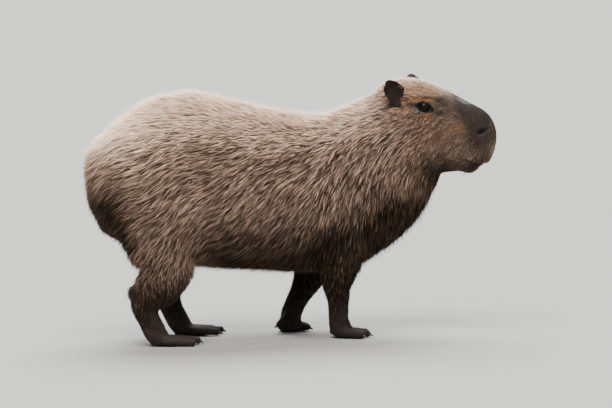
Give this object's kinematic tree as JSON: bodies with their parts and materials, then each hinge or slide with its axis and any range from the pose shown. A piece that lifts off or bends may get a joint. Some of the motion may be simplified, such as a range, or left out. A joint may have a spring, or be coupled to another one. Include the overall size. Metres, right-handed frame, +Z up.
{
  "type": "capybara model",
  "caption": "Life-size still model of an adult capybara standing on all its feet, head turned a little to its right, with a coarse grey-brown coat.",
  "frame": {"origin": "centre of the whole model's footprint box, on the floor that the soles stand on", "axes": "+X along the trunk towards the head, +Y to the animal's left, +Z up; the head turns about 30 degrees from +X towards -Y"},
  "size_m": [1.0232, 0.3438, 0.6474],
  "materials": {
    "coat_back": "coarse, fairly long hair with pale tips, matt",
    "coat_flank": "coarse, fairly long hair, grey-brown, matt",
    "coat_face": "short, dense hair with tan and dark areas",
    "short_fur": "short, flat, dark brown hair",
    "dark_skin": "bare, fine-creased dark skin",
    "claw_horn": "dull dark horn",
    "wet_eye": "wet, very dark brown"
  },
  "bodies": {
    "root": {"claw_fore_left_1": "claw_horn", "claw_fore_left_2": "claw_horn", "claw_fore_left_3": "claw_horn", "claw_fore_left_4": "claw_horn", "claw_fore_right_1": "claw_horn", "claw_fore_right_2": "claw_horn", "claw_fore_right_3": "claw_horn", "claw_fore_right_4": "claw_horn", "claw_hind_left_1": "claw_horn", "claw_hind_left_2": "claw_horn", "claw_hind_left_3": "claw_horn", "claw_hind_right_1": "claw_horn", "claw_hind_right_2": "claw_horn", "claw_hind_right_3": "claw_horn", "ear_left": "short_fur", "ear_right": "short_fur", "eye_left": "wet_eye", "eye_right": "wet_eye", "fore_foot_left": "dark_skin", "fore_foot_right": "dark_skin", "forearm_left": "short_fur", "forearm_right": "short_fur", "head": "coat_face", "hind_foot_left": "dark_skin", "hind_foot_right": "dark_skin", "lower_jaw": "coat_face", "neck": "coat_flank", "shank_left": "short_fur", "shank_right": "short_fur", "tail": "coat_back", "thigh_left": "coat_flank", "thigh_right": "coat_flank", "trunk": "coat_back", "upper_arm_left": "coat_flank", "upper_arm_right": "coat_flank"}
  },
  "joints": []
}
